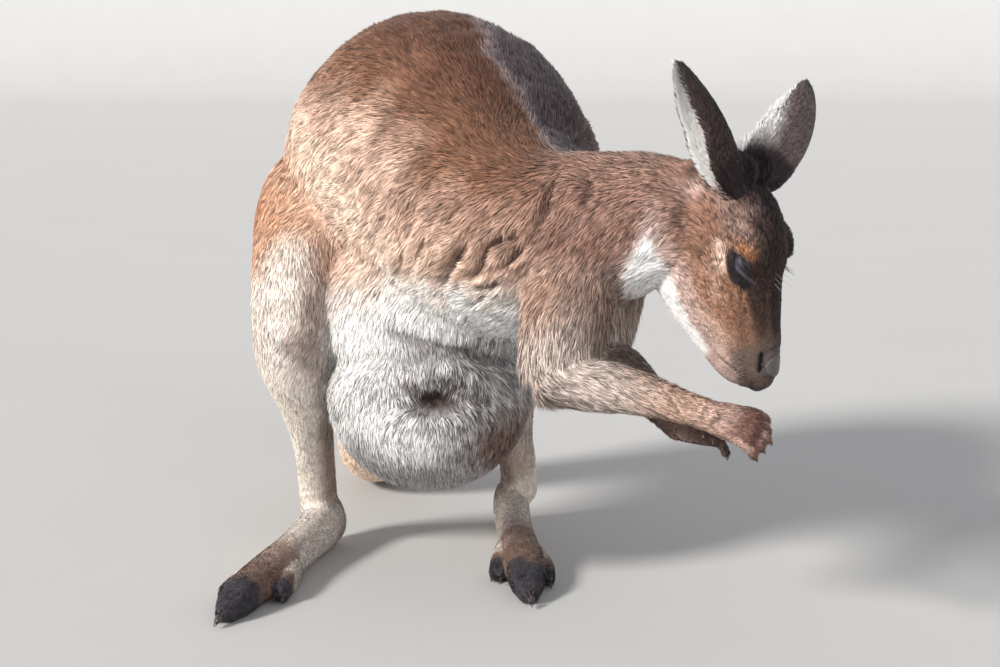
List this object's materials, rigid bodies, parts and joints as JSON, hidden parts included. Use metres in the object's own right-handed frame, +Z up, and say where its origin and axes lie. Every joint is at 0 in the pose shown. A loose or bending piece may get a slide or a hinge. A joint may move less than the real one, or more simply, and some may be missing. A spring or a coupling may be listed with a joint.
{
  "type": "kangaroo",
  "caption": "Life-size still kangaroo, a grown female bent forward on its hind feet, head lowered over the hands, with a full round pouch and the tail laid on the ground behind.",
  "frame": {"origin": "middle of the box round the animal's footprint, on the ground", "axes": "+Z up, -Y the way that the pelvis and the pouch face, +X towards the animal's left"},
  "size_m": [0.5836, 1.2794, 0.6032],
  "materials": {
    "head": "short grizzled brown coat",
    "neck": "brown coat, white down the throat",
    "trunk": "thick brown coat, fading to cream below",
    "pouch": "soft white and grey coat",
    "tail": "rusty brown coat, darker to the tip",
    "ear": "short dark coat outside, white hair inside",
    "eye": "wet, dark",
    "upper_arm": "shaggy grey-brown coat",
    "forearm": "cinnamon coat",
    "hand": "short dark coat over bare black skin",
    "thigh": "rusty brown coat",
    "shank": "cream coat",
    "foot": "short speckled brown coat",
    "claw": "dark horn, worn"
  },
  "bodies": {
    "root": {"ear_l": "ear", "ear_r": "ear", "eye_l": "eye", "eye_r": "eye", "foot_l": "foot", "foot_l_claw_fifth": "claw", "foot_l_claw_fourth": "claw", "foot_l_claw_second": "claw", "foot_l_claw_third": "claw", "foot_r": "foot", "foot_r_claw_fifth": "claw", "foot_r_claw_fourth": "claw", "foot_r_claw_second": "claw", "foot_r_claw_third": "claw", "forearm_l": "forearm", "forearm_r": "forearm", "hand_l": "hand", "hand_l_claw_1": "claw", "hand_l_claw_2": "claw", "hand_l_claw_3": "claw", "hand_l_claw_4": "claw", "hand_l_claw_5": "claw", "hand_r": "hand", "hand_r_claw_1": "claw", "hand_r_claw_2": "claw", "hand_r_claw_3": "claw", "hand_r_claw_4": "claw", "hand_r_claw_5": "claw", "head": "head", "neck": "neck", "pouch": "pouch", "shank_l": "shank", "shank_r": "shank", "tail_base": "tail", "tail_end": "tail", "tail_middle": "tail", "thigh_l": "thigh", "thigh_r": "thigh", "trunk": "trunk", "upper_arm_l": "upper_arm", "upper_arm_r": "upper_arm"}
  },
  "joints": []
}
